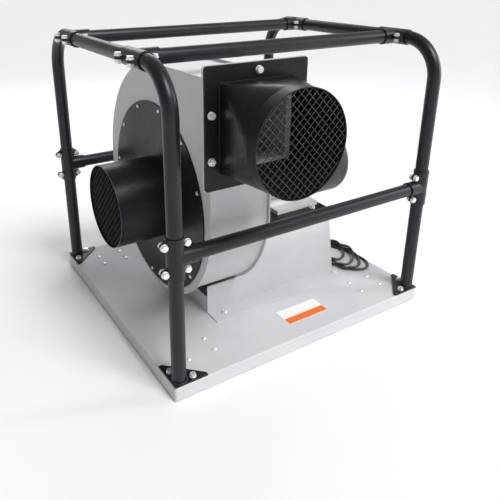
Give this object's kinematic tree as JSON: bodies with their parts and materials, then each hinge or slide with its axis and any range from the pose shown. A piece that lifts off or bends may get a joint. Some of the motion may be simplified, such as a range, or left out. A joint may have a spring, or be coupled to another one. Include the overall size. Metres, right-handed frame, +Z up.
{
  "type": "radial air mover",
  "caption": "Radial air mover: a centrifugal fan driven by an electric motor on a sheet-steel tray, in a bolted tube cage, with round inlet and outlet collars.",
  "frame": {"origin": "bottom centre of the whole object's box, on the ground under the rubber feet, without the mains cord", "axes": "+X along the fan shaft from the air inlet to the motor, +Y from the outlet side to the rear, +Z up"},
  "size_m": [0.776, 0.822, 0.719],
  "materials": {
    "steel_grey": "satin light-grey powder coat",
    "rubber_black": "matte",
    "zinc": "bright zinc plate",
    "frame_black": "semi-gloss black powder coat",
    "fan_black": "satin black paint",
    "guard_wire": "thin dark paint over wire",
    "impeller_steel": "galvanised sheet",
    "shaft_steel": "ground steel",
    "lamination": "stacked sheet",
    "copper_winding": "enamelled copper wire",
    "motor_grey": "light-grey cast, satin",
    "motor_plastic_black": "fine-textured black",
    "rocker_red": "glossy",
    "label_print": "printed foil, white with an orange band, no lettering",
    "cord_black": "satin black sheath",
    "tie_black": "nylon"
  },
  "bodies": {
    "housing": {"base_tray": "steel_grey", "scroll_left_plate": "steel_grey", "scroll_right_plate": "steel_grey", "scroll_wrapper": "steel_grey", "outlet_duct_flange": "steel_grey", "pedestal": "steel_grey", "rubber_feet": "rubber_black", "foot_screws": "zinc", "foot_bolts": "zinc", "clamp_bolts": "zinc", "inlet_plate_screws": "zinc", "outlet_bolts": "zinc", "motor_bolts": "zinc", "pedestal_bolts": "zinc", "left_hoop": "frame_black", "right_hoop": "frame_black", "foot_plates": "frame_black", "front_top_bar": "frame_black", "rear_top_bar": "frame_black", "front_mid_bar": "frame_black", "rear_mid_bar": "frame_black", "top_clamp_upper_halves": "frame_black", "top_clamp_lower_halves": "frame_black", "mid_clamp_outer_halves": "frame_black", "mid_clamp_inner_halves": "frame_black", "inlet_plate": "fan_black", "inlet_spigot": "fan_black", "inlet_cone": "fan_black", "outlet_flange_plate": "fan_black", "outlet_transition": "fan_black", "outlet_collar": "fan_black", "pedestal_top_plate": "fan_black", "inlet_guard": "guard_wire", "outlet_guard": "guard_wire", "motor_bearings": "shaft_steel", "stator_core": "lamination", "stator_windings": "copper_winding", "motor_body": "motor_grey", "drive_end_shield": "motor_grey", "rear_end_shield": "motor_grey", "motor_feet": "motor_grey", "fan_cowl": "motor_plastic_black", "switch_box": "motor_plastic_black", "switch_box_lid": "motor_plastic_black", "cable_gland": "motor_plastic_black", "label_plate": "label_print", "cord_lead": "cord_black", "cord_coil": "cord_black", "cord_tail": "cord_black", "mains_plug": "cord_black", "cable_tie": "tie_black"},
    "rotor": {"impeller_back_plate": "impeller_steel", "impeller_blades": "impeller_steel", "impeller_shroud": "impeller_steel", "impeller_hub": "impeller_steel", "impeller_bolt": "zinc", "motor_shaft": "shaft_steel", "rotor_core": "lamination", "cooling_fan": "motor_plastic_black"},
    "rocker": {"switch_rocker": "rocker_red"}
  },
  "joints": [
    {"name": "rotor_spin", "type": "hinge", "parent": "housing", "child": "rotor", "pos_m": [-0.075, 0.036, 0.334], "axis": [1, 0, 0], "continuous": true},
    {"name": "rocker_tilt", "type": "hinge", "parent": "housing", "child": "rocker", "pos_m": [0.105, 0.1605, 0.335], "axis": [1, 0, 0], "range_deg": [-20, 0]}
  ]
}
